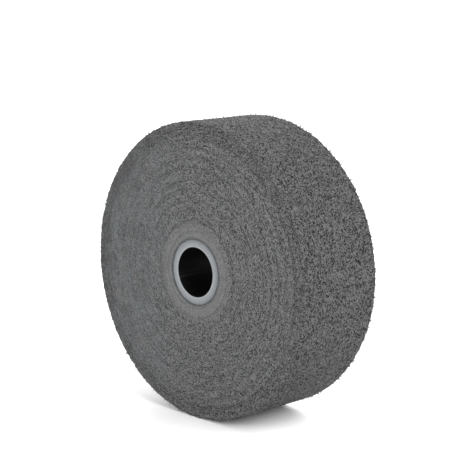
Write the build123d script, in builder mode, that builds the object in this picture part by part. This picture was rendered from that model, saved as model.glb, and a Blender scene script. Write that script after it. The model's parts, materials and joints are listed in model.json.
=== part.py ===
from build123d import *
import os

# Wound polishing wheel: a strip of springy non-woven web, rolled up in a spiral on a rigid core
# tube and bonded there with resin. The wheel spins about Y, its centre is the origin, and +Z is up.

# ---------------------------------------------------------------- driving dimensions, millimetres
WHEEL_DIAMETER = 152.4  # over the dressed rim, 6 in
WHEEL_WIDTH = 50.8  # between the two side faces, 2 in
BORE_DIAMETER = 25.4  # slides over a 1 in arbor
CORE_DIAMETER = 33.0  # outside of the rigid core tube
LINER_WALL = 0.15  # black inner ply of the core, which the arbor touches
BORE_CHAMFER = 0.25  # broken edge at both ends of the core tube, where the liner stops
CORE_BOND = 0.3  # glue film between the core tube and the first wrap
WRAPS = 11  # turns of the resin line, and so of the web
WRAP_BOND = 0.3  # resin line between one wrap and the next
LEAD_COVER = 0.5  # web between the core glue and the start of the resin line
RIM_ROUNDING = 1.2  # soft corner where each side face meets the rim
TAIL_COVER = 1.6  # web left outside the end of the resin line once the rim is dressed

# ---------------------------------------------------------------- worked out from those
HALF_WIDTH = WHEEL_WIDTH / 2
BORE_RADIUS = BORE_DIAMETER / 2
LINER_RADIUS = BORE_RADIUS + LINER_WALL
CORE_RADIUS = CORE_DIAMETER / 2
WEB_INNER_RADIUS = CORE_RADIUS + CORE_BOND
WEB_OUTER_RADIUS = WHEEL_DIAMETER / 2
LINE_START = WEB_INNER_RADIUS + LEAD_COVER
LINE_END = WEB_OUTER_RADIUS - TAIL_COVER - WRAP_BOND
WRAP_PITCH = (LINE_END - LINE_START) / WRAPS

os.makedirs("parts", exist_ok=True)


def spiral(start):
    """Draws a spiral of half circles, each tangent to the last, and returns its two end points.

    The centres alternate a quarter of the wrap pitch either side of the wheel's centre, so that
    each half circle is half a pitch larger than the one before. Seen from the front face, it
    starts on the +X side and opens clockwise.
    """
    quarter = WRAP_PITCH / 4
    half_circles = []
    for turn in range(WRAPS):
        radius = start + turn * WRAP_PITCH + quarter
        half_circles.append(CenterArc((-quarter, 0), radius, 0, -180))
        half_circles.append(CenterArc((quarter, 0), radius + 2 * quarter, 180, -180))
    return half_circles[0] @ 0, half_circles[-1] @ 1


# ---------------------------------------------------------------- the resin line between the wraps
# One thin band that follows the spiral from just outside the core to just under the rim.
with BuildPart() as wrap_bond:
    with BuildSketch(Plane.XZ) as band:
        with BuildLine():
            inner_start, inner_end = spiral(LINE_START)
            outer_start, outer_end = spiral(LINE_START + WRAP_BOND)
            Line(inner_start, outer_start)
            Line(inner_end, outer_end)
        make_face()
    extrude(amount=HALF_WIDTH, both=True)

wrap_bond.part.label = "wrap_bond"
export_step(wrap_bond.part, "parts/wrap_bond.step")


# ---------------------------------------------------------------- the wound web
# All wraps are one strip: its first end lies against the core, and its last end is dressed round
# with the rim. The resin line leaves a slot through it from face to face.
with BuildPart() as wound_web:
    with BuildSketch(Plane.XZ):
        Circle(WEB_OUTER_RADIUS)
        Circle(WEB_INNER_RADIUS, mode=Mode.SUBTRACT)
    extrude(amount=HALF_WIDTH, both=True)
    rim_corners = wound_web.edges().filter_by(GeomType.CIRCLE).group_by(SortBy.RADIUS)[-1]
    fillet(rim_corners, RIM_ROUNDING)
    with BuildSketch(Plane.XZ):
        add(band.sketch_local)
    extrude(amount=HALF_WIDTH, both=True, mode=Mode.SUBTRACT)

wound_web.part.label = "wound_web"
export_step(wound_web.part, "parts/wound_web.step")


# ---------------------------------------------------------------- the glue film around the core
with BuildPart() as core_bond:
    with BuildSketch(Plane.XZ):
        Circle(WEB_INNER_RADIUS)
        Circle(CORE_RADIUS, mode=Mode.SUBTRACT)
    extrude(amount=HALF_WIDTH, both=True)

core_bond.part.label = "core_bond"
export_step(core_bond.part, "parts/core_bond.step")


# ---------------------------------------------------------------- the rigid core tube
with BuildPart() as core_tube:
    with BuildSketch(Plane.XZ):
        Circle(CORE_RADIUS)
        Circle(LINER_RADIUS, mode=Mode.SUBTRACT)
    extrude(amount=HALF_WIDTH, both=True)
    bore_edges = core_tube.edges().filter_by(GeomType.CIRCLE).group_by(SortBy.RADIUS)[0]
    chamfer(bore_edges, BORE_CHAMFER)

core_tube.part.label = "core_tube"
export_step(core_tube.part, "parts/core_tube.step")


# ---------------------------------------------------------------- the liner ply in the bore
# It stops where the core tube's chamfers begin.
with BuildPart() as bore_liner:
    with BuildSketch(Plane.XZ):
        Circle(LINER_RADIUS)
        Circle(BORE_RADIUS, mode=Mode.SUBTRACT)
    extrude(amount=HALF_WIDTH - BORE_CHAMFER, both=True)

bore_liner.part.label = "bore_liner"
export_step(bore_liner.part, "parts/bore_liner.step")

print(f"wrap pitch {WRAP_PITCH:.3f} mm, resin line from {LINE_START:.2f} to {LINE_END:.2f} mm")
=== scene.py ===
"""Dresses the wound polishing wheel: fibre web, resin lines, glue, core, floor, lights and camera.

Lengths are in metres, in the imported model's frame: the wheel spins about Y, its centre is the
origin, +Z is up, and the front face looks along -Y. Wraps are counted outwards from the core.
"""

from __future__ import annotations

import json
import logging
import math
from collections.abc import Iterator
from contextlib import contextmanager
from dataclasses import dataclass, field
from enum import Enum

import bpy
import numpy as np
from mathutils import Matrix, Vector


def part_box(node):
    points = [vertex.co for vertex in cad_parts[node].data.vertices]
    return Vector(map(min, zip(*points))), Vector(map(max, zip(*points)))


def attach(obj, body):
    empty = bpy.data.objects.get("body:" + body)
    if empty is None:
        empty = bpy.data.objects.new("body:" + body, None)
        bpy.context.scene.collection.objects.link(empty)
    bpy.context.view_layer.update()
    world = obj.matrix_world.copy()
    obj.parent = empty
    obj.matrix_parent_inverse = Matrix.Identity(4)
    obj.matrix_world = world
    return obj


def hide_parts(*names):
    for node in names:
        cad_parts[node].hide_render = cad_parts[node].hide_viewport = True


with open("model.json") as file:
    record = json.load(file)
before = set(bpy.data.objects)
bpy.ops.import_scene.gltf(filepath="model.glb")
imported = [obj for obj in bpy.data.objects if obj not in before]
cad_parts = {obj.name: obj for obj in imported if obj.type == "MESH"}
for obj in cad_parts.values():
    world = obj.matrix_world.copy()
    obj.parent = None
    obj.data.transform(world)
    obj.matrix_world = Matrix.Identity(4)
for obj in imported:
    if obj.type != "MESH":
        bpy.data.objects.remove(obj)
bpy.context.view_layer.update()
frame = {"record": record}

MM = 0.001
BODY = "root"
NEAR = 1e-7
SHORT_TURN = 0.9999
RIM_EDGE = 1.2 * MM
Shade = tuple[float, float, float]
Lump = tuple[float, float, float]
Heading = tuple[float, float, float]
Piece = bpy.types.Object
Material = bpy.types.Material
log = logging.getLogger("wheel")


# ---- sizes


@dataclass(frozen=True)
class WheelSizes:
    """The wheel's sizes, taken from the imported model.

    Attributes:
        rim: Radius over the dressed rim.
        half_width: Half the distance between the two side faces.
        bore: Radius of the bore.
        liner: Outer radius of the liner ply.
        liner_half: Half the liner's length.
        core: Outer radius of the core tube.
        web_inner: Radius where the web begins, outside the glue.
        line_start: Radius where the resin line begins.
        pitch: How much the radius grows in one turn.
        wraps: Turns of the resin line.
        bond: Thickness of the resin line.
    """

    rim: float
    half_width: float
    bore: float
    liner: float
    liner_half: float
    core: float
    web_inner: float
    line_start: float
    pitch: float
    wraps: int = 11
    bond: float = 0.3 * MM

    @classmethod
    def from_frame(cls, lead_cover: float = 0.5 * MM) -> WheelSizes:
        """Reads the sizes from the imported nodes.

        Args:
            lead_cover: Web between the core glue and the start of the resin line.

        Returns:
            The sizes of this wheel.
        """
        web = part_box("wound_web")[1]
        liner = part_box("bore_liner")[1]
        mounts = {mount["name"]: mount for mount in frame["record"]["mounts"]}
        web_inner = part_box("core_bond")[1].x
        line_start = web_inner + lead_cover
        line_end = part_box("wrap_bond")[1].x - cls.bond
        return cls(
            rim=web.x,
            half_width=web.y,
            bore=mounts["bore"]["dims"]["r_mm"] * MM,
            liner=liner.x,
            liner_half=liner.y,
            core=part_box("core_tube")[1].x,
            web_inner=web_inner,
            line_start=line_start,
            pitch=(line_end - line_start) / cls.wraps,
        )

    def line_radius(self, turns: np.ndarray) -> np.ndarray:
        """Follows the resin line, a spiral of half circles about two centres.

        Args:
            turns: Turns from the start of the line, clockwise seen from the front.

        Returns:
            The distance from the wheel's centre to the line's inner side.
        """
        whole = np.floor(turns)
        part = turns - whole
        first_half = part < 0.5
        centre = np.where(first_half, -1.0, 1.0) * self.pitch / 4
        arc = self.line_start + whole * self.pitch + np.where(first_half, 1.0, 3.0) * self.pitch / 4
        angle = 2 * math.pi * part
        return centre * np.cos(angle) + np.sqrt(arc**2 - (centre * np.sin(angle)) ** 2)

    def wrap_inner(self, wrap: int, part: np.ndarray) -> np.ndarray:
        """Returns the radius of a wrap's inner side, part of a turn from its start."""
        if wrap == 0:
            return np.full_like(part, self.web_inner)
        return self.line_radius(wrap - 1 + part) + self.bond

    def wrap_outer(self, wrap: int, part: np.ndarray) -> np.ndarray:
        """Returns the radius of a wrap's outer side, part of a turn from its start."""
        if wrap == self.wraps:
            return np.full_like(part, self.rim)
        return self.line_radius(wrap + part)


class Side(Enum):
    """The three outer surfaces of the wheel."""

    FRONT = -1
    BACK = 1
    RIM = 0


class Grain:
    """Smooth random values in space, the same on each run for the same seed."""

    def __init__(self, seed: int, size: int = 8192) -> None:
        """Draws the table of values.

        Args:
            seed: Seed of the random draw.
            size: How many values the table holds.
        """
        self.table = np.random.default_rng(seed).random(size)

    def at(self, places: np.ndarray) -> np.ndarray:
        """Reads the field.

        Args:
            places: Points, one per row, in units of one lump.

        Returns:
            A value from 0 to 1 for each point.
        """
        cell = np.floor(places).astype(np.int64)
        part = places - cell
        part = part * part * (3 - 2 * part)
        total = np.zeros(len(places))
        for corner in np.ndindex(2, 2, 2):
            weight = np.prod(np.where(np.array(corner), part, 1 - part), axis=1)
            a, b, c = (cell + np.array(corner)).T
            key = (a * 73856093) ^ (b * 19349663) ^ (c * 83492791)
            total += weight * self.table[key % len(self.table)]
        return total


# ---- shaders


class Channel:
    """One shader socket that plain arithmetic works on."""

    def __init__(self, recipe: Recipe, socket: bpy.types.NodeSocket) -> None:
        """Wraps a socket of a recipe's node."""
        self.recipe = recipe
        self.socket = socket

    def __add__(self, other: Channel | float) -> Channel:
        """Adds."""
        return self.recipe.maths("ADD", self, other)

    __radd__ = __add__

    def __sub__(self, other: Channel | float) -> Channel:
        """Takes away."""
        return self.recipe.maths("SUBTRACT", self, other)

    def __rsub__(self, other: float) -> Channel:
        """Takes this from a number."""
        return self.recipe.maths("SUBTRACT", other, self)

    def __mul__(self, other: Channel | float) -> Channel:
        """Multiplies."""
        return self.recipe.maths("MULTIPLY", self, other)

    __rmul__ = __mul__

    def __truediv__(self, other: Channel | float) -> Channel:
        """Divides."""
        return self.recipe.maths("DIVIDE", self, other)

    def __abs__(self) -> Channel:
        """Drops the sign."""
        return self.recipe.maths("ABSOLUTE", self, 0.0)

    def __pow__(self, other: float) -> Channel:
        """Raises to a power."""
        return self.recipe.maths("POWER", self, other)

    def between(self, low: float, high: float) -> Channel:
        """Turns low to high into a soft step from 0 to 1."""
        return self.recipe.node(
            "ShaderNodeMapRange",
            {"interpolation_type": "SMOOTHSTEP"},
            {"Value": self, "From Min": low, "From Max": high},
        )["Result"]


class Outputs:
    """A node's outputs by name, as channels."""

    def __init__(self, recipe: Recipe, made: bpy.types.Node) -> None:
        """Wraps a node."""
        self.recipe = recipe
        self.made = made

    def __getitem__(self, name: str | int) -> Channel:
        """Returns the output that is switched on and has this name or number."""
        if isinstance(name, int):
            return Channel(self.recipe, self.made.outputs[name])
        found = next(out for out in self.made.outputs if out.name == name and out.enabled)
        return Channel(self.recipe, found)


class Recipe:
    """Builds one material from nodes."""

    def __init__(self, name: str) -> None:
        """Starts a material that has its Principled shader and nothing else.

        Args:
            name: The material's name.
        """
        self.material = bpy.data.materials.new(name)
        self.material.use_nodes = True
        self.tree = self.material.node_tree
        self.shader = self.tree.nodes["Principled BSDF"]

    def node(
        self,
        kind: str,
        settings: dict[str, object] | None = None,
        inputs: dict[str | int, object] | None = None,
    ) -> Outputs:
        """Adds a node.

        Args:
            kind: The node's type.
            settings: Its properties, which are set first.
            inputs: Channels to link, or values to set, by socket name or number.

        Returns:
            Its outputs.
        """
        made = self.tree.nodes.new(kind)
        for key, value in (settings or {}).items():
            setattr(made, key, value)
        for key, value in (inputs or {}).items():
            sockets = made.inputs
            socket = sockets[key] if isinstance(key, int) else next(
                s for s in sockets if s.name == key and s.enabled
            )
            self.feed(socket, value)
        return Outputs(self, made)

    def feed(self, socket: bpy.types.NodeSocket, value: object) -> None:
        """Links a channel to a socket, or sets the socket to a plain value."""
        if isinstance(value, Channel):
            self.tree.links.new(value.socket, socket)
        else:
            socket.default_value = value

    def maths(self, operation: str, first: object, second: object) -> Channel:
        """Adds a Math node and returns its result."""
        return self.node("ShaderNodeMath", {"operation": operation}, {0: first, 1: second})[0]

    def mix(self, share: object, first: object, second: object) -> Channel:
        """Mixes two colours.

        Args:
            share: How much of the second.
            first: A colour or a channel.
            second: A colour or a channel.

        Returns:
            The mixed colour.
        """
        a, b = ((*shade, 1.0) if isinstance(shade, tuple) else shade for shade in (first, second))
        inputs = {"Factor": share, "A": a, "B": b}
        return self.node("ShaderNodeMix", {"data_type": "RGBA"}, inputs)["Result"]

    def place(self) -> Channel:
        """Reads the place in the piece's own frame."""
        return self.node("ShaderNodeTexCoord")["Object"]

    def noted(self, name: str) -> Outputs:
        """Reads what the piece notes at its points under this name."""
        return self.node("ShaderNodeAttribute", {"attribute_name": name})

    def axes(self, place: Channel) -> Outputs:
        """Splits a place into X, Y and Z."""
        return self.node("ShaderNodeSeparateXYZ", {}, {"Vector": place})

    def stretched(self, place: Channel, lump: Lump | float) -> Channel:
        """Divides a place by the size of a lump, one for all axes or one for each."""
        sizes = lump if isinstance(lump, tuple) else (lump, lump, lump)
        scale = tuple(1 / size for size in sizes)
        return self.node("ShaderNodeVectorMath", {"operation": "MULTIPLY"}, {0: place, 1: scale})[0]

    def noise(self, place: Channel, lump: Lump | float, detail: float = 2.0) -> Channel:
        """Reads smooth noise with lumps of this size."""
        return self.node(
            "ShaderNodeTexNoise",
            {"noise_dimensions": "3D"},
            {"Vector": self.stretched(place, lump), "Scale": 1.0, "Detail": detail},
        )["Fac"]

    def bands(self, radius: Channel, width: float, detail: float) -> Channel:
        """Reads smooth noise in rings of this width."""
        return self.node(
            "ShaderNodeTexNoise",
            {"noise_dimensions": "1D"},
            {"W": radius / width, "Scale": 1.0, "Detail": detail},
        )["Fac"]

    def bump(self, height: Channel, distance: float, strength: float) -> Channel:
        """Turns a height from 0 to 1 into a bumped normal."""
        return self.node(
            "ShaderNodeBump", {}, {"Height": height, "Distance": distance, "Strength": strength}
        )["Normal"]

    def finish(self, **sockets: object) -> Material:
        """Feeds the Principled shader and returns the material.

        Args:
            **sockets: Values or channels by socket name, with _ for a space.

        Returns:
            The finished material.
        """
        for name, value in sockets.items():
            self.feed(self.shader.inputs[name.replace("_", " ")], value)
        return self.material


@dataclass(frozen=True)
class WebFinish:
    """Gritty grey non-woven web: matted fibres, pores between them painted dark as shade, and faint
    mottling.

    Attributes:
        pore_shade: Painted shade down in the holes between the fibres and in the pits.
        shade: Darker patches of mottling; also painted shade on the rim, round the outer edge and by
            the joints between wraps.
        body: The matted fibres.
        light: Fibres that catch the light.
        cool: Bluish patches, far stronger on the front face's left part as painted cool light from the
            left.
        pale: The dense first wraps.
        grain_lump: Size of a grain along the strip, through it and across it.
        fine_lump: Size of the finest grain, the same way.
        thread_lump: Spacing of the fibres, the same way.
        core_band_dark: Darker bluish colour in a ragged band of web just outside the core.
        roughness: Roughness all over.
    """

    pore_shade: Shade = (0.008, 0.008, 0.008)
    shade: Shade = (0.050, 0.050, 0.051)
    body: Shade = (0.108, 0.108, 0.108)
    light: Shade = (0.166, 0.166, 0.167)
    cool: Shade = (0.099, 0.112, 0.119)
    pale: Shade = (0.126, 0.126, 0.126)
    grain_lump: Lump = (0.54 * MM, 0.42 * MM, 0.54 * MM)
    fine_lump: Lump = (0.54 * MM, 0.36 * MM, 0.47 * MM)
    thread_lump: Lump = (1.05 * MM, 0.66 * MM, 0.85 * MM)
    core_band_dark: Shade = (0.052, 0.058, 0.064)
    roughness: float = 0.88

    def make(self, sizes: WheelSizes, dense_radius: float) -> Material:
        """Builds the material.

        Args:
            sizes: The wheel's sizes.
            dense_radius: Radius inside which the first wraps are pressed dense and smooth.

        Returns:
            The web's material. It reads the strip attribute, which holds the distance along
            the strip, the radius and the place across the width.
        """
        recipe = Recipe("web_fibre_grey")
        strip = recipe.noted("strip")["Vector"]
        pit = recipe.noted("pit")["Fac"]
        ply = recipe.noted("ply")["Fac"]
        place = recipe.place()
        parts = recipe.axes(strip)
        radius, across = parts["Y"], parts["Z"]
        outwards = abs(across)
        half = sizes.half_width
        on_face = outwards.between(half - 1.5 * MM, half - 0.9 * MM)
        loose = radius.between(dense_radius - 4 * MM, dense_radius + 3 * MM)
        in_front = 1 - across.between(-1 * MM, 1 * MM)
        left = 1 - recipe.axes(place)["X"].between(-0.75 * sizes.rim, 0.0)
        # The front face's left part; the cool tint below is strongest there, painted cool light from
        # the left.
        pressed = on_face * in_front * left

        grains = recipe.node(
            "ShaderNodeTexVoronoi",
            {"feature": "F1", "voronoi_dimensions": "3D"},
            {"Vector": recipe.stretched(strip, self.grain_lump), "Scale": 1.0},
        )
        tone = recipe.node("ShaderNodeSeparateColor", {}, {"Color": grains["Color"]})["Red"]
        fine = recipe.noise(strip, self.fine_lump, 1.0)
        drift = recipe.noise(place, 9 * MM, 1.0)
        rows = recipe.bands(radius, 1.6 * MM, 1.0)
        runs = recipe.noise(strip, (14 * MM, 3 * MM, 9 * MM), 1.0)
        # Painted shade: broken runs of extra pores along the joints between wraps on the faces.
        seam = (1 - ply.between(0.10, 0.80)) * runs.between(0.40, 0.62) * on_face
        shift = 0.06 * (drift - 0.5) + (0.15 * (rows - 0.5) - 0.02) * on_face - 0.08 * seam
        # Painted shade: where the specks run low, mostly at the grains' borders, pores open and take
        # the near-black pore colour.
        gaps = 0.10 * (grains["Distance"] - 0.45)
        specks = 0.5 + 0.50 * (tone - 0.5) + 0.55 * (fine - 0.5) - gaps + shift
        depth = (1 - 0.13 * on_face - 0.38 * pressed) * (0.35 + 0.65 * loose)
        pores = (1 - specks.between(0.37, 0.455)) * depth
        maze = abs(recipe.noise(strip, self.thread_lump, 1.0) - 0.5)
        threads = (1 - maze.between(0.0, 0.05)) * 0.3 + specks.between(0.55, 0.62) * 0.75

        tint = recipe.noise(place, 6 * MM)
        # Bluish patches all over, far stronger on the front face's left part: painted cool light from
        # the left.
        base = recipe.mix(tint.between(0.30, 0.62) * (0.15 + 0.75 * pressed), self.body, self.cool)
        base = recipe.mix(1 - loose, base, self.pale)
        # A darker bluish ragged band of web just outside the core.
        reach = radius + 1.6 * MM * (tint - 0.5)
        by_core = 1 - reach.between(sizes.web_inner + 0.2 * MM, sizes.web_inner + 1.5 * MM)
        base = recipe.mix(0.8 * by_core * on_face, base, self.core_band_dark)
        # Painted shade: darker towards and round the outer edge between faces and rim, dimming the
        # light that this rounded edge catches.
        on_edge = outwards.between(half - 2.6 * MM, half - 1.3 * MM)
        worn = radius.between(0.86 * sizes.rim, 0.93 * sizes.rim) * on_edge
        # Painted shade: darker by the joints between wraps on the faces, where the grooves lie in
        # shade.
        joint_shade = (1 - ply.between(0.0, 1.5)) * on_face * loose
        patches = (0.10 + 0.40 * pressed) * drift.between(0.35, 0.65)
        base = recipe.mix(worn * 0.58 + patches + 0.16 * joint_shade, base, self.shade)
        # Painted shade: the whole rim is mixed darker than the faces, for the weaker light that falls
        # on it.
        base = recipe.mix(0.73 * (1 - on_face), base, self.shade)
        lit = recipe.mix(threads * depth * 0.8, base, self.light)
        dark = recipe.mix(pores, lit, self.pore_shade)
        # Painted shade: darker down in the modelled pits, and the rim darker again.
        sunk = recipe.mix(pit * 0.15 * depth + 0.07 * (1 - on_face), dark, self.pore_shade)
        return recipe.finish(
            Base_Color=sunk,
            Roughness=self.roughness,
            Specular_IOR_Level=0.15,
            Normal=recipe.bump(specks + 0.2 * threads, 0.45 * MM, 0.8),
        )


@dataclass(frozen=True)
class FibreFinish:
    """Resin-coated fibres of mixed greys.

    Attributes:
        dark: The darkest fibres.
        light: The lightest fibres.
        grit: Grains stuck to them.
    """

    dark: Shade = (0.022, 0.022, 0.023)
    light: Shade = (0.168, 0.168, 0.170)
    grit: Shade = (0.016, 0.016, 0.016)

    def make(self) -> Material:
        """Builds the material, which reads each fibre's own tone."""
        recipe = Recipe("fibre_mixed_grey")
        tone = recipe.noted("tone")["Fac"]
        grains = recipe.noise(recipe.place(), 0.6 * MM, 1.0)
        thread = recipe.mix(tone, self.dark, self.light)
        coated = recipe.mix(grains.between(0.56, 0.72) * 0.7, thread, self.grit)
        return recipe.finish(
            Base_Color=coated,
            Roughness=0.6 + 0.3 * grains,
            Specular_IOR_Level=0.25,
            Normal=recipe.bump(grains, 0.08 * MM, 0.6),
        )


@dataclass(frozen=True)
class ResinFinish:
    """Cured dark resin or glue, matte, with a grainy broken edge.

    Attributes:
        name: The material's name.
        deep: Between the grains.
        pale: On the grains.
    """

    name: str
    deep: Shade
    pale: Shade

    def make(self) -> Material:
        """Builds the material."""
        recipe = Recipe(self.name)
        grains = recipe.noise(recipe.place(), 0.7 * MM, 3.0)
        return recipe.finish(
            Base_Color=recipe.mix(grains.between(0.35, 0.7), self.deep, self.pale),
            Roughness=0.5 + 0.35 * grains,
            Normal=recipe.bump(grains, 0.15 * MM, 0.7),
        )


@dataclass(frozen=True)
class CoreFinish:
    """Light blue-grey laminated tube with satin faced ends and fine turning rings.

    Attributes:
        pale: Where the end is clean.
        worn: Where it is dull.
        outer: Darker colour of grit specks, and of a ragged band towards its outer edge.
        lip_highlight: Painted highlight on the bore's edge, where its chamfer catches the light.
    """

    pale: Shade = (0.156, 0.166, 0.176)
    worn: Shade = (0.121, 0.129, 0.137)
    outer: Shade = (0.080, 0.087, 0.093)
    lip_highlight: Shade = (0.238, 0.251, 0.262)

    def make(self, inner: float, outer: float) -> Material:
        """Builds the material.

        Args:
            inner: The tube's inner radius.
            outer: The tube's outer radius.

        Returns:
            The core's material.
        """
        recipe = Recipe("core_blue_grey")
        place = recipe.place()
        axes = recipe.axes(place)
        radius = (axes["X"] * axes["X"] + axes["Z"] * axes["Z"]) ** 0.5
        rings = recipe.bands(radius, 0.28 * MM, 2.0)
        smudge = recipe.noise(place, 3 * MM, 3.0)
        grit = recipe.noise(place, 0.35 * MM, 1.0)
        ragged = recipe.noise(place, 1.4 * MM)
        # Darker towards the tube's outer edge, in a ragged band.
        edge = (radius + 2.2 * MM * (ragged - 0.5)).between(inner + 0.35 * (outer - inner), outer)
        base = recipe.mix(rings.between(0.35, 0.65) * 0.8 + 0.2 * smudge, self.pale, self.worn)
        # Painted highlight: lighter just round the bore, where the chamfer catches the light.
        bright = 1 - radius.between(inner + 0.2 * MM, inner + 0.9 * MM)
        lip_lit_outer_dark = recipe.mix(edge * 0.85, recipe.mix(0.7 * bright, base, self.lip_highlight), self.outer)
        return recipe.finish(
            Base_Color=recipe.mix(grit.between(0.55, 0.75) * 0.35, lip_lit_outer_dark, self.outer),
            Roughness=0.42 + 0.2 * smudge,
            Normal=recipe.bump(rings * 0.8 + grit * 0.2, 0.05 * MM, 0.6),
        )


@dataclass(frozen=True)
class LinerFinish:
    """Black half-gloss liner ply with fine lines along the bore.

    Attributes:
        deep: Its own black.
        rubbed: Where the arbor has rubbed it.
        scored: Along its seam, fading into the bore as painted light.
    """

    deep: Shade = (0.002, 0.002, 0.002)
    rubbed: Shade = (0.005, 0.005, 0.005)
    scored: Shade = (0.045, 0.044, 0.043)

    def make(self) -> Material:
        """Builds the material."""
        recipe = Recipe("liner_black")
        place = recipe.place()
        drawn = recipe.noise(place, (0.8 * MM, 30 * MM, 0.8 * MM))
        scuffs = recipe.noise(place, (2.5 * MM, 6 * MM, 2.5 * MM), 3.0)
        seam = recipe.noted("seam")["Fac"]
        plain = recipe.mix(drawn.between(0.5, 0.75) * scuffs, self.deep, self.rubbed)
        return recipe.finish(
            Base_Color=recipe.mix(seam * (0.4 + 0.6 * drawn), plain, self.scored),
            Roughness=0.32 + 0.3 * scuffs,
            Specular_IOR_Level=0.16,
            Normal=recipe.bump(drawn, 0.05 * MM, 0.5),
        )


# ---- modelling


class Bench:
    """The hand tools that each piece is modelled with."""

    @staticmethod
    def deselect() -> None:
        """Leaves nothing selected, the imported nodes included."""
        bpy.ops.object.select_all(action="DESELECT")

    @staticmethod
    def take(pieces: list[Piece]) -> Piece:
        """Selects these pieces and nothing else, makes the first active and returns it."""
        Bench.deselect()
        for piece in pieces:
            piece.select_set(True)
        bpy.context.view_layer.objects.active = pieces[0]
        return pieces[0]

    @staticmethod
    def section(name: str, inner: float, outer: float, half_width: float) -> Piece:
        """Adds a flat cross-section on the +X side, across the radius and the width.

        Args:
            name: Name of the new piece.
            inner: Radius of its inner side.
            outer: Radius of its outer side.
            half_width: Half its width along the spin axis.

        Returns:
            The new object, with its place in its mesh.
        """
        Bench.deselect()
        middle = (inner + outer) / 2
        bpy.ops.mesh.primitive_plane_add(size=1.0, location=(middle, 0.0, 0.0))
        piece = bpy.context.object
        piece.name = piece.data.name = name
        piece.scale = (outer - inner, 2 * half_width, 1.0)
        bpy.ops.object.transform_apply(location=True, rotation=True, scale=True)
        return piece

    @staticmethod
    def read(piece: Piece, what: str) -> np.ndarray:
        """Returns the piece's points, "co", or their normals, "normal", one per row."""
        found = np.empty(len(piece.data.vertices) * 3, np.float32)
        piece.data.vertices.foreach_get(what, found)
        return found.reshape(-1, 3).astype(float)

    @staticmethod
    def points(piece: Piece) -> np.ndarray:
        """Returns the piece's points, one per row."""
        return Bench.read(piece, "co")

    @staticmethod
    def place_points(piece: Piece, places: np.ndarray) -> None:
        """Moves the piece's points to these places."""
        piece.data.vertices.foreach_set("co", places.astype(np.float32).ravel())
        piece.data.update()

    @staticmethod
    @contextmanager
    def editing(action: str = "SELECT") -> Iterator[None]:
        """Opens edit mode with all selected, or nothing, and closes it again."""
        bpy.ops.object.mode_set(mode="EDIT")
        bpy.ops.mesh.select_all(action=action)
        yield
        bpy.ops.object.mode_set(mode="OBJECT")

    @staticmethod
    @contextmanager
    def picked(piece: Piece, axis: int, place: float, corners: bool) -> Iterator[None]:
        """Opens edit mode with only the part of a cross-section at one place selected.

        Args:
            piece: The cross-section.
            axis: 0 for the radius, 1 for the width.
            place: Where that part lies on that axis.
            corners: Whether corners are selected, and not edges.
        """
        bpy.context.tool_settings.mesh_select_mode = (corners, not corners, False)
        mesh = piece.data
        chosen = np.abs(Bench.points(piece)[:, axis] - place) < NEAR
        ends = np.empty(len(mesh.edges) * 2, np.int32)
        mesh.edges.foreach_get("vertices", ends)
        mesh.polygons.foreach_set("select", np.zeros(len(mesh.polygons), bool))
        mesh.edges.foreach_set("select", chosen[ends.reshape(-1, 2)].all(axis=1))
        mesh.vertices.foreach_set("select", chosen)
        bpy.ops.object.mode_set(mode="EDIT")
        yield
        bpy.ops.object.mode_set(mode="OBJECT")

    @staticmethod
    def round_corners(piece: Piece, side: float, offset: float, segments: int) -> None:
        """Rounds the two corners of a cross-section at one radius."""
        with Bench.picked(piece, 0, side, corners=True):
            bpy.ops.mesh.bevel(offset=offset, segments=segments, affect="VERTICES")

    @staticmethod
    def divide(piece: Piece, axis: int, place: float, cuts: int) -> None:
        """Divides the straight edges of a cross-section that lie at one place on an axis."""
        with Bench.picked(piece, axis, place, corners=False):
            bpy.ops.mesh.subdivide(number_cuts=cuts)

    @staticmethod
    def turn(piece: Piece, steps: int) -> np.ndarray:
        """Sweeps a cross-section clockwise about the wheel's axis, just short of a full turn.

        Args:
            piece: The cross-section, on the +X side.
            steps: How many steps the turn takes.

        Returns:
            For each point, the part of the full turn that it stands for, from 0 to 1.
        """
        with Bench.editing():
            bpy.ops.mesh.delete(type="ONLY_FACE")
        ring = len(piece.data.vertices)
        sweep = piece.modifiers.new("sweep", "SCREW")
        sweep.axis, sweep.angle = "Y", 2 * math.pi * SHORT_TURN
        sweep.steps = sweep.render_steps = steps
        bpy.ops.object.modifier_apply(modifier=sweep.name)
        return np.repeat(np.arange(steps + 1) / steps, ring)

    @staticmethod
    def on_turn(radius: np.ndarray, width: np.ndarray, part: np.ndarray) -> np.ndarray:
        """Returns the points at these radii, widths and parts of a turn from +X."""
        angle = 2 * math.pi * part
        return np.column_stack([radius * np.cos(angle), width, -radius * np.sin(angle)])

    @staticmethod
    def outward() -> None:
        """Turns all faces of the piece in hand outwards."""
        with Bench.editing():
            bpy.ops.mesh.normals_make_consistent(inside=False)

    @staticmethod
    def cap() -> None:
        """Closes the open ends of the swept piece in hand."""
        bpy.context.tool_settings.mesh_select_mode = (False, True, False)
        with Bench.editing("DESELECT"):
            bpy.ops.mesh.select_non_manifold()
            bpy.ops.mesh.fill_holes(sides=0)
        Bench.outward()

    @staticmethod
    def close() -> None:
        """Merges the points of the piece in hand that meet."""
        with Bench.editing():
            bpy.ops.mesh.remove_doubles(threshold=NEAR)
            bpy.ops.mesh.delete_loose()
        Bench.outward()

    @staticmethod
    def note(piece: Piece, name: str, values: np.ndarray) -> None:
        """Stores one number, or three, for each point of the piece."""
        kind, key = ("FLOAT", "value") if values.ndim == 1 else ("FLOAT_VECTOR", "vector")
        made = piece.data.attributes.new(name, kind, "POINT")
        made.data.foreach_set(key, values.astype(np.float32).ravel())

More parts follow.
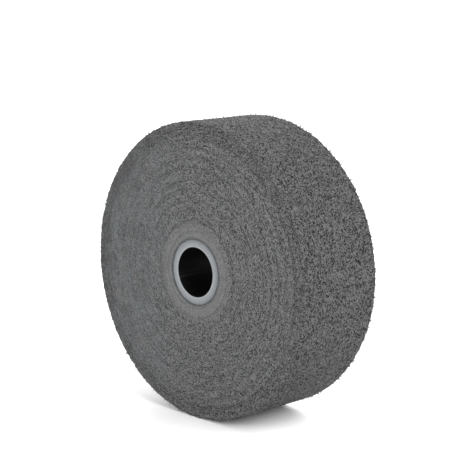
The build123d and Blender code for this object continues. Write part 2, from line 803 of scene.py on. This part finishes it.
    @staticmethod
    def hand_over(piece: Piece, node: str, slot: str, finish: Material) -> None:
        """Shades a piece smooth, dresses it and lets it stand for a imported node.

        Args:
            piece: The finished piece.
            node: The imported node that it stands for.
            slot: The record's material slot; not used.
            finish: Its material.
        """
        piece.data.shade_smooth()
        piece.data.materials.clear()
        piece.data.materials.append(finish)
        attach(piece, BODY)
        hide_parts(node)
        log.info("%s: %d faces, stands for %s", piece.name, len(piece.data.polygons), node)


# ---- the web


@dataclass
class WoundWeb:
    """The rolled strip, modelled wrap by wrap and torn into a fibrous surface.

    Attributes:
        sizes: The wheel's sizes.
        cell: Spacing of the points on the surfaces that show.
        rim_cell: The same on the outermost wrap, which carries the whole rim.
        edge: Rounding of a wrap's edges.
        pit_lump: Spacing of the pits between the fibres.
        pit_depth: How deep the pits are.
        swell_lump: Spacing of the slow waves in the surface.
        swell: Height of the slow waves.
        tuft: Height of the tufts on the rim.
        tuft_lump: Spacing of the tufts.
        tooth: Height of the finest grain.
        sink: How far the surface lies under its nominal place.
        pit_level: Value of the pits' random field, from 0 to 1, above which a pit opens.
        dense_core: Radius where the web is packed dense and smooth.
        dense_fade: How far out the dense web fades into loose web.
    """

    sizes: WheelSizes
    cell: float = 0.55 * MM
    rim_cell: float = 0.60 * MM
    edge: float = 0.05 * MM
    pit_lump: float = 0.80 * MM
    pit_depth: float = 0.22 * MM
    swell_lump: float = 4.5 * MM
    swell: float = 0.22 * MM
    tuft: float = 0.50 * MM
    tuft_lump: float = 1.2 * MM
    tooth: float = 0.24 * MM
    sink: float = 0.06 * MM
    pit_level: float = 0.66
    dense_core: float = 20 * MM
    dense_fade: float = 6 * MM
    pits: Grain = field(default_factory=lambda: Grain(11))
    waves: Grain = field(default_factory=lambda: Grain(12))
    teeth: Grain = field(default_factory=lambda: Grain(13))

    def build(self, finish: Material) -> None:
        """Builds and dresses every wrap."""
        along = 0.0
        for wrap in range(self.sizes.wraps + 1):
            along = self.make_wrap(wrap, along, finish)

    def make_wrap(self, wrap: int, along: float, finish: Material) -> float:
        """Models one wrap of the strip.

        Args:
            wrap: Its number, counted outwards.
            along: Length of strip already wound inside it.
            finish: Its material.

        Returns:
            The length of strip wound up to its end.
        """
        sizes = self.sizes
        start = np.zeros(1)
        inner = float(sizes.wrap_inner(wrap, start)[0])
        outer = float(sizes.wrap_outer(wrap, start)[0])
        last = wrap == sizes.wraps
        cell = self.rim_cell if last else self.cell
        piece = Bench.section(f"web_wrap_{wrap:02d}", inner, outer, sizes.half_width)
        Bench.round_corners(piece, inner, self.edge, 1)
        Bench.round_corners(piece, outer, RIM_EDGE if last else self.edge, 4 if last else 1)
        for side in (-sizes.half_width, sizes.half_width):
            Bench.divide(piece, 1, side, max(1, round((outer - inner) / cell) - 1))
        if last:
            Bench.divide(piece, 0, outer, round(2 * sizes.half_width / cell) - 1)
        part = Bench.turn(piece, round(2 * math.pi * outer / cell))
        radius, width = self.wind(piece, wrap, part, inner, outer, last)
        Bench.cap()
        middle = (sizes.wrap_inner(wrap, part) + sizes.wrap_outer(wrap, part)) / 2
        turn = math.pi * (middle.min() + middle.max())
        strip = np.column_stack([along + part * turn, radius, width])
        depth = self.tear(piece, radius, width)
        near = np.minimum(
            radius - sizes.wrap_inner(wrap, part),
            3 * MM if last else sizes.wrap_outer(wrap, part) - radius,
        )
        Bench.note(piece, "strip", strip)
        Bench.note(piece, "pit", depth)
        Bench.note(piece, "ply", np.clip(near / MM, 0.0, 3.0))
        Bench.hand_over(piece, "wound_web", "web", finish)
        return along + turn

    def wind(
        self,
        piece: Piece,
        wrap: int,
        part: np.ndarray,
        inner: float,
        outer: float,
        last: bool,
    ) -> tuple[np.ndarray, np.ndarray]:
        """Bends a round wrap into its part of the spiral.

        Args:
            piece: The spun wrap.
            wrap: Its number.
            part: Part of a turn for each point.
            inner: Its inner radius before winding.
            outer: Its outer radius before winding.
            last: Whether it is the outermost wrap.

        Returns:
            Each point's radius and its place across the width.
        """
        points = Bench.points(piece)
        radius = np.hypot(points[:, 0], points[:, 2])
        margin = min(self.edge, 0.45 * (outer - inner))
        outer_margin = RIM_EDGE if last else margin
        new_inner = self.sizes.wrap_inner(wrap, part)
        new_outer = self.sizes.wrap_outer(wrap, part)
        room = new_outer - new_inner - margin - outer_margin
        share = (radius - inner - margin) / (outer - inner - margin - outer_margin)
        wound = new_inner + margin + np.clip(share, 0, 1) * np.maximum(room, 0)
        wound = np.where(share < 0, new_inner + (radius - inner), wound)
        wound = np.where(share > 1, new_outer - (outer - radius), wound)
        Bench.place_points(piece, Bench.on_turn(wound, points[:, 1], part))
        return wound, points[:, 1].copy()

    def relief(self, places: np.ndarray, radius: np.ndarray) -> tuple[np.ndarray, np.ndarray]:
        """Works out how the torn surface rises and falls.

        Args:
            places: Points on the wheel's nominal surface.
            radius: Their radii.

        Returns:
            How far each point lies out of the surface, and how deep in a pit, from 0 to 1.
        """
        holes = self.pits.at(places / self.pit_lump)
        pit = np.clip((holes - self.pit_level) / 0.2, 0, 1)
        pit = pit * pit * (3 - 2 * pit)
        loose = np.clip((radius - self.dense_core) / self.dense_fade, 0.25, 1.0)
        on_rim = np.clip((radius - self.sizes.rim + 1.5 * MM) / (0.8 * MM), 0, 1)
        lift = self.swell * (self.waves.at(places / self.swell_lump) - 0.5)
        lift += self.tuft * on_rim * (self.pits.at(places / self.tuft_lump + 50.0) - 0.5)
        teeth = self.teeth.at(places / (0.8 * self.pit_lump))
        lift += self.tooth * (loose + on_rim) * (teeth - 0.5)
        lift -= self.pit_depth * pit * loose + self.sink
        return lift, pit * loose

    def tear(self, piece: Piece, radius: np.ndarray, width: np.ndarray) -> np.ndarray:
        """Pits and swells the surfaces that show.

        Args:
            piece: The wound wrap.
            radius: Each point's radius.
            width: Each point's place across the width.

        Returns:
            How deep in a pit each point lies, from 0 to 1.
        """
        places = Bench.points(piece)
        shown = (np.abs(width) > self.sizes.half_width - RIM_EDGE - NEAR) | (
            radius > self.sizes.rim - RIM_EDGE - NEAR
        )
        lift, pit = self.relief(places, radius)
        outwards = np.column_stack([0 * width, np.sign(width), 0 * width])
        by_rim = radius > self.sizes.rim - 1.5 * RIM_EDGE
        outwards[by_rim] = Bench.read(piece, "normal")[by_rim]
        Bench.place_points(piece, places + outwards * (lift * shown)[:, None])
        return pit * shown


@dataclass
class ResinLine:
    """The cured resin between the wraps, seen as thin broken lines on the two faces.

    Attributes:
        web: The web that it bonds.
        step: Length of one step along the line.
        low: How far it lies under the faces at its lowest; at its highest it is flush.
        lump: Length of its runs and gaps.
    """

    web: WoundWeb
    step: float = 0.62 * MM
    low: float = 0.16 * MM
    lump: float = 1.1 * MM
    breaks: Grain = field(default_factory=lambda: Grain(21))

    def build(self, finish: Material) -> None:
        """Models the line turn by turn, joins the turns and dresses the piece."""
        line = Bench.take([self.make_turn(turn) for turn in range(self.web.sizes.wraps)])
        bpy.ops.object.join()
        line.name = line.data.name = "resin_line"
        Bench.close()
        Bench.cap()
        Bench.hand_over(line, "wrap_bond", "resin", finish)

    def make_turn(self, turn: int) -> Piece:
        """Models one turn of the line.

        Args:
            turn: Its number, counted outwards.

        Returns:
            The turn, open at its inner ends.
        """
        sizes = self.web.sizes
        start = float(sizes.line_radius(np.array([float(turn)]))[0])
        piece = Bench.section(f"resin_turn_{turn:02d}", start, start + sizes.bond, sizes.half_width)
        Bench.round_corners(piece, start, 0.3 * sizes.bond, 1)
        part = Bench.turn(piece, round(2 * math.pi * start / self.step))
        points = Bench.points(piece)
        across = np.hypot(points[:, 0], points[:, 2]) - start
        radius = sizes.line_radius(turn + part) + across
        places = Bench.on_turn(radius, points[:, 1], part)
        worn = np.clip((self.breaks.at(places / self.lump) - 0.55) / 0.25, 0, 1)
        lift, _ = self.web.relief(places, radius)
        places[:, 1] += np.sign(places[:, 1]) * (lift - self.low * worn)
        Bench.place_points(piece, places)
        return piece


# ---- the core


@dataclass
class Core:
    """The rigid tube in the middle, the liner in its bore and the glue round it.

    Attributes:
        sizes: The wheel's sizes.
        steps: Steps in a full turn.
        chamfer: Chamfer at the bore's two ends.
        outer_edge: Rounding of the tube's outer edges.
        film_edge: Rounding of the edges of the liner and of the glue.
        end_cuts: Cuts across the tube's end faces.
        length_cuts: Cuts along the bore.
        tool_pitch: Spacing of the waves left by the facing tool.
        seam: Direction of the liner's seam, clockwise from +X, in degrees.
        seam_depth: Depth of that seam.
        lump: Spacing of the lumps in the glue.
    """

    sizes: WheelSizes
    steps: int = 240
    chamfer: float = 0.25 * MM
    outer_edge: float = 0.12 * MM
    film_edge: float = 0.03 * MM
    end_cuts: int = 12
    length_cuts: int = 9
    tool_pitch: float = 0.62 * MM
    seam: float = 161.0
    seam_depth: float = 0.10 * MM
    lump: float = 1.6 * MM
    lumps: Grain = field(default_factory=lambda: Grain(31))

    def blank(
        self, name: str, inner: float, outer: float, half_width: float, edges: tuple[float, float]
    ) -> Piece:
        """Draws a ring's cross-section.

        Args:
            name: The piece's name.
            inner: Inner radius.
            outer: Outer radius.
            half_width: Half its length.
            edges: Rounding of its inner and of its outer corners.

        Returns:
            The cross-section.
        """
        piece = Bench.section(name, inner, outer, half_width)
        for side, edge in zip((inner, outer), edges):
            Bench.round_corners(piece, side, edge, 2)
        return piece

    def ring(self, piece: Piece, half_width: float, cuts: int) -> np.ndarray:
        """Turns a cross-section into a full ring whose end faces are divided.

        Args:
            piece: The cross-section.
            half_width: Half its length.
            cuts: Cuts across each end face.

        Returns:
            The ring's points.
        """
        for side in (-half_width, half_width):
            Bench.divide(piece, 1, side, cuts)
        part = Bench.turn(piece, self.steps)
        points = Bench.points(piece)
        radius = np.hypot(points[:, 0], points[:, 2])
        Bench.place_points(piece, Bench.on_turn(radius, points[:, 1], part))
        Bench.close()
        return Bench.points(piece)

    def build_tube(self, finish: Material) -> None:
        """Turns the core tube, its end faces faintly waved by the facing tool."""
        sizes = self.sizes
        edges = (self.chamfer, self.outer_edge)
        piece = self.blank("core_ring", sizes.liner, sizes.core, sizes.half_width, edges)
        places = self.ring(piece, sizes.half_width, self.end_cuts)
        radius = np.hypot(places[:, 0], places[:, 2])
        end = np.abs(places[:, 1]) > sizes.half_width - 0.5 * self.chamfer
        wave = 0.5 + 0.5 * np.sin(radius / self.tool_pitch * 2 * math.pi)
        worn = np.clip((radius - 15.2 * MM) / (1.3 * MM), 0, 1)
        places[:, 1] -= np.sign(places[:, 1]) * end * (0.03 * MM * wave + 0.16 * MM * worn)
        Bench.place_points(piece, places)
        Bench.hand_over(piece, "core_tube", "core", finish)

    def build_liner(self, finish: Material) -> None:
        """Turns the liner, with a fine open seam along it."""
        sizes = self.sizes
        edges = (self.film_edge, self.film_edge)
        piece = self.blank("bore_lining", sizes.bore, sizes.liner, sizes.liner_half, edges)
        Bench.divide(piece, 0, sizes.bore, self.length_cuts)
        Bench.turn(piece, self.steps)
        Bench.close()
        places = Bench.points(piece)
        radius = np.hypot(places[:, 0], places[:, 2])
        angle = np.degrees(np.arctan2(-places[:, 2], places[:, 0])) % 360
        inside = radius < sizes.bore + 0.1 * MM
        gap = np.exp(-(((angle - self.seam) / 1.6) ** 2)) * inside
        beside = np.exp(-(((angle - self.seam - 9.0) / 1.2) ** 2)) * inside
        scale = 1 + gap * self.seam_depth / radius
        places[:, 0] *= scale
        places[:, 2] *= scale
        Bench.place_points(piece, places)
        # The seam's lighter mark shows only towards the liner's ends and fades into the bore: the fade
        # is painted light.
        lit_end = np.clip(np.abs(places[:, 1]) / sizes.liner_half - 0.25, 0, 1)
        Bench.note(piece, "seam", np.clip(gap + 0.5 * beside, 0, 1) * lit_end)
        Bench.hand_over(piece, "bore_liner", "liner", finish)

    def build_glue(self, finish: Material) -> None:
        """Turns the glue ring, lumpy and a little below the faces."""
        sizes = self.sizes
        edges = (self.film_edge, self.film_edge)
        piece = self.blank("core_glue", sizes.core, sizes.web_inner, sizes.half_width, edges)
        places = self.ring(piece, sizes.half_width, 1)
        lumps = self.lumps.at(places / self.lump)
        places[:, 1] -= np.sign(places[:, 1]) * (0.05 * MM + 0.5 * MM * lumps)
        Bench.place_points(piece, places)
        Bench.hand_over(piece, "core_bond", "glue", finish)


# ---- fibres


@dataclass
class FibreCoat:
    """Loose fibres that stand out of the web on one side of the wheel.

    Attributes:
        sizes: The wheel's sizes.
        side: Which side they lie on.
        count: How many lie matted on the surface.
        strays: How many stand up from it.
        seed: Seed of the random draw.
        shortest: Length of the shortest.
        longest: Length of the longest.
        thin: Smallest thickness.
        thick: Largest thickness.
        stray_rise: How far most of the strays stand up at the most.
        tall_share: Share of the strays that stand half as high again.
        tuft_half: Half the thickness of a stray at its root.
        root: How deep a stray is rooted.
        pressed: How deep a matted fibre is pressed in.
        sunk: How far below the nominal surface they are laid.
        fan: Scatter of the matted ones on a face about the wrap's direction, in degrees.
        frayed: Share of the rim's strays that stand at its two edges.
        rear: Share of those that stand at the rear edge.
        fray_band: Width of the band in which those stand.
    """

    sizes: WheelSizes
    side: Side
    count: int
    strays: int
    seed: int
    shortest: float = 0.7 * MM
    longest: float = 2.4 * MM
    thin: float = 0.13 * MM
    thick: float = 0.30 * MM
    stray_rise: float = 2.1 * MM
    tall_share: float = 0.02
    tuft_half: float = 0.40 * MM
    root: float = 0.3 * MM
    pressed: float = 0.08 * MM
    sunk: float = 0.14 * MM
    fan: float = 32.0
    frayed: float = 0.75
    rear: float = 0.72
    fray_band: float = 1.3 * MM

    def build(self, strand: Piece, finish: Material) -> None:
        """Lays copies of one strand all over the side, as one piece.

        Args:
            strand: The strand to copy, a unit long and a unit in radius.
            finish: The fibres' material.
        """
        draw = np.random.default_rng(self.seed)
        total = self.count + self.strays
        stray = np.arange(total) >= self.count
        centre, along, across, normal, bow = self.lay(draw, total, stray)
        template = Bench.points(strand)
        length = self.shortest + (self.longest - self.shortest) * draw.random(total) ** 1.8
        half = (self.thin + (self.thick - self.thin) * draw.random(total) ** 1.5) / 2
        half = np.where(stray, self.tuft_half * (0.6 + 0.4 * draw.random(total)), half)
        run = template[:, 2][None, :]
        bend = draw.normal(0, 0.16, total)[:, None]
        twist = draw.normal(0, 0.30, total)[:, None]
        forward = length[:, None] * run
        sideways = length[:, None] * (bend * (4 * run * run - 0.5) + twist * run * (4 * run * run - 1))
        arch = (0.05 + 0.13 * draw.random(total))[:, None] * MM * (1 - 3.4 * run * run)
        tall = self.stray_rise * (0.22 + 0.78 * draw.random(total) ** 2)
        tall *= np.where(draw.random(total) < self.tall_share, 1.5, 1.0)
        stands = stray[:, None]
        forward = np.where(stands, 0.35 * forward, forward)
        rise = (tall + self.root + self.drop(centre))[:, None] * (run + 0.5) ** 1.2
        height = np.where(stands, rise - self.root, arch - self.pressed) - bow * forward**2
        wide = half[:, None] * np.where(stands, 1 - 0.72 * (run + 0.5), 1 - 0.9 * run * run)
        thick = wide * template[:, 1]
        places = (
            centre[:, None, :]
            + along[:, None, :] * (forward + thick * stands)[..., None]
            + across[:, None, :] * (sideways + wide * template[:, 0])[..., None]
            + normal[:, None, :] * (height + thick * ~stands)[..., None]
        )
        tone = np.clip(draw.normal(0.5, 0.28, total), 0, 1)
        Bench.hand_over(self.make_piece(strand, places, tone), "wound_web", "web", finish)

    def drop(self, centre: np.ndarray) -> np.ndarray:
        """Returns how far the rounded rim edge lies below the rim at each place."""
        past = np.abs(centre[:, 1]) - self.sizes.half_width + RIM_EDGE
        past = np.clip(past, 0, 0.96 * RIM_EDGE)
        return (RIM_EDGE - np.sqrt(RIM_EDGE**2 - past**2)) * (self.side is Side.RIM)

    def lay(
        self, draw: np.random.Generator, total: int, stray: np.ndarray
    ) -> tuple[np.ndarray, ...]:
        """Picks a place and a direction for each fibre.

        Args:
            draw: The random draw.
            total: How many fibres.
            stray: Which of them stand up.

        Returns:
            Centres, directions along and across, normals, and how the surface bows away.
        """
        sizes = self.sizes
        angle = draw.random(total) * 2 * math.pi
        out = np.column_stack([np.cos(angle), np.zeros(total), -np.sin(angle)])
        round_way = np.column_stack([-np.sin(angle), np.zeros(total), -np.cos(angle)])
        axis = np.tile([0.0, 1.0, 0.0], (total, 1))
        if self.side is Side.RIM:
            reach = sizes.half_width - 0.9 * MM
            place = draw.uniform(-reach, reach, total)
            frayed = stray & (draw.random(total) < self.frayed)
            edge = np.where(draw.random(total) < self.rear, 1.0, -1.0)
            at_edge = edge * (reach + 0.6 * MM - self.fray_band * draw.random(total))
            place = np.where(frayed, at_edge, place)
            centre = out * (sizes.rim - self.sunk) + axis * place[:, None]
            centre -= out * self.drop(centre)[:, None]
            turn = draw.uniform(-math.pi, math.pi, total)
            normal, other = out, axis
            bow = (np.cos(turn) ** 2 / (2 * sizes.rim))[:, None]
        else:
            low, high = (sizes.web_inner + 1.2 * MM) ** 2, (sizes.rim - 1.1 * MM) ** 2
            radius = np.sqrt(draw.uniform(low, high, total))
            normal, other = axis * self.side.value, out
            centre = out * radius[:, None] + normal * (sizes.half_width - self.sunk)
            turn = draw.normal(0, math.radians(self.fan), total)
            turn += math.pi * draw.integers(0, 2, total)
            bow = np.zeros((total, 1))
        along = round_way * np.cos(turn)[:, None] + other * np.sin(turn)[:, None]
        across = other * np.cos(turn)[:, None] - round_way * np.sin(turn)[:, None]
        return centre, along, across, normal, bow

    def make_piece(self, strand: Piece, places: np.ndarray, tone: np.ndarray) -> Piece:
        """Copies the strand's faces to every laid fibre.

        Args:
            strand: The strand that was copied.
            places: Points of each fibre, in the strand's order.
            tone: One tone for each fibre.

        Returns:
            The piece that holds all the fibres.
        """
        total, points, _ = places.shape
        faces = [tuple(face.vertices) for face in strand.data.polygons]
        starts = range(0, total * points, points)
        laid = [[start + corner for corner in face] for start in starts for face in faces]
        mesh = bpy.data.meshes.new(f"fibres_{self.side.name.lower()}")
        mesh.from_pydata(places.reshape(-1, 3).astype(np.float32), [], laid)
        mesh.validate()
        piece = bpy.data.objects.new(mesh.name, mesh)
        bpy.context.scene.collection.objects.link(piece)
        Bench.take([piece])
        Bench.outward()
        Bench.note(piece, "tone", np.repeat(tone, points))
        return piece

    @staticmethod
    def make_strand() -> Piece:
        """Models the strand that all fibres are copied from, three-sided and cut in three."""
        Bench.deselect()
        bpy.ops.mesh.primitive_cylinder_add(vertices=3, radius=1.0, depth=1.0)
        strand = bpy.context.object
        strand.name = "strand"
        with Bench.editing():
            for height in (-1 / 6, 1 / 6):
                bpy.ops.mesh.select_all(action="SELECT")
                bpy.ops.mesh.bisect(plane_co=(0.0, 0.0, height), plane_no=(0.0, 0.0, 1.0))
        return strand


# ---- studio


@dataclass
class Studio:
    """Floor, camera and soft lights.

    Attributes:
        floor_height: Height of the floor, under the rim.
        azimuth: Camera direction about Z, in degrees; 0 looks along +Y.
        elevation: Camera height above the horizon, in degrees.
        distance: From the camera to the point it looks at.
        lens: Focal length in millimetres.
        sensor: Width of the sensor in millimetres.
        clip: Nearest and farthest distance that the camera sees.
        aside: How far to the right of the wheel's centre it looks.
        above: How far above the wheel's centre it looks.
        room: Brightness of the white room.
        lamps: Name, direction, strength and breadth in degrees of each broad soft light.
    """

    floor_height: float
    azimuth: float = 45.955
    elevation: float = 10.01
    distance: float = 728.45 * MM
    lens: float = 113.303
    sensor: float = 36.0
    clip: tuple[float, float] = (0.05, 200.0)
    aside: float = -3.112 * MM
    above: float = 21.153 * MM
    room: float = 0.38
    lamps: tuple[tuple[str, Heading, float, float], ...] = (
        ("high_right", (1.15, 0.1, 1.0), 3.70, 50.0),
        ("high_left", (-0.7, 0.9, 0.7), 3.30, 50.0),
        ("front", (-0.12, -1.0, 0.21), 3.42, 56.0),
    )

    def build(self) -> None:
        """Sets up the whole studio."""
        self.build_floor()
        self.build_camera()
        self.build_lights()

    def build_floor(self) -> None:
        """Lays a wide pale floor under the wheel."""
        Bench.deselect()
        bpy.ops.mesh.primitive_plane_add(size=60.0, location=(0.0, 0.0, self.floor_height))
        floor = bpy.context.object
        floor.name = "studio_floor"
        recipe = Recipe("floor_pale")
        haze = recipe.noise(recipe.place(), 0.2, 1.0)
        floor.data.materials.append(
            recipe.finish(
                Base_Color=recipe.mix(haze, (0.93, 0.93, 0.93), (0.95, 0.95, 0.95)),
                Roughness=0.9,
                Specular_IOR_Level=0.1,
            )
        )

    def build_camera(self) -> None:
        """Places the camera."""
        turn, lift = math.radians(self.azimuth), math.radians(self.elevation)
        back = Vector(
            (math.sin(turn) * math.cos(lift), -math.cos(turn) * math.cos(lift), math.sin(lift))
        )
        right = Vector((math.cos(turn), math.sin(turn), 0.0))
        target = right * self.aside + Vector((0.0, 0.0, self.above))
        camera = bpy.data.objects.new("camera", bpy.data.cameras.new("camera"))
        camera.data.lens = self.lens
        camera.data.sensor_width = self.sensor
        camera.data.clip_start, camera.data.clip_end = self.clip
        camera.location = target + back * self.distance
        camera.rotation_euler = Matrix((right, back.cross(right), back)).transposed().to_euler()
        bpy.context.scene.collection.objects.link(camera)
        bpy.context.scene.camera = camera

    def add_lamp(self, name: str, towards: Heading, strength: float, spread: float) -> None:
        """Adds a broad soft light, the same all over the floor.

        Args:
            name: Its name.
            towards: The way from the wheel to the light.
            strength: Its strength.
            spread: How broad it is, in degrees.
        """
        lamp = bpy.data.lights.new(name, "SUN")
        lamp.energy, lamp.angle = strength, math.radians(spread)
        light = bpy.data.objects.new(name, lamp)
        light.rotation_euler = Vector(towards).to_track_quat("Z", "Y").to_euler()
        bpy.context.scene.collection.objects.link(light)

    def build_lights(self) -> None:
        """Surrounds the wheel with even light, with more from above."""
        world = bpy.data.worlds.new("white_room")
        world.use_nodes = True
        inputs = world.node_tree.nodes["Background"].inputs
        inputs["Color"].default_value = (1.0, 1.0, 1.0, 1.0)
        inputs["Strength"].default_value = self.room
        bpy.context.scene.world = world
        for name, towards, strength, spread in self.lamps:
            self.add_lamp(name, towards, strength, spread)
        bpy.context.scene.view_settings.view_transform = "Standard"


def main() -> None:
    """Builds the wheel piece by piece, then the studio round it."""
    logging.basicConfig(level=logging.INFO, format="%(name)s: %(message)s")
    sizes = WheelSizes.from_frame()
    log.info("resin line: %d turns, %.3f mm apart", sizes.wraps, sizes.pitch / MM)
    web_finish = WebFinish().make(sizes, dense_radius=25 * MM)
    fibre_finish = FibreFinish().make()
    web = WoundWeb(sizes)
    web.build(web_finish)
    ResinLine(web).build(
        ResinFinish("resin_dark", (0.032, 0.032, 0.033), (0.114, 0.114, 0.115)).make()
    )
    core = Core(sizes)
    core.build_tube(CoreFinish().make(sizes.liner, sizes.core))
    core.build_liner(LinerFinish().make())
    core.build_glue(ResinFinish("glue_grey", (0.027, 0.031, 0.035), (0.105, 0.111, 0.118)).make())
    strand = FibreCoat.make_strand()
    for side, count, strays, seed in (
        (Side.FRONT, 9000, 30, 41),
        (Side.BACK, 9000, 30, 42),
        (Side.RIM, 8600, 900, 43),
    ):
        FibreCoat(sizes, side, count, strays, seed).build(strand, fibre_finish)
    bpy.data.objects.remove(strand)
    Studio(floor_height=-sizes.rim).build()


if __name__ == "__main__":
    main()
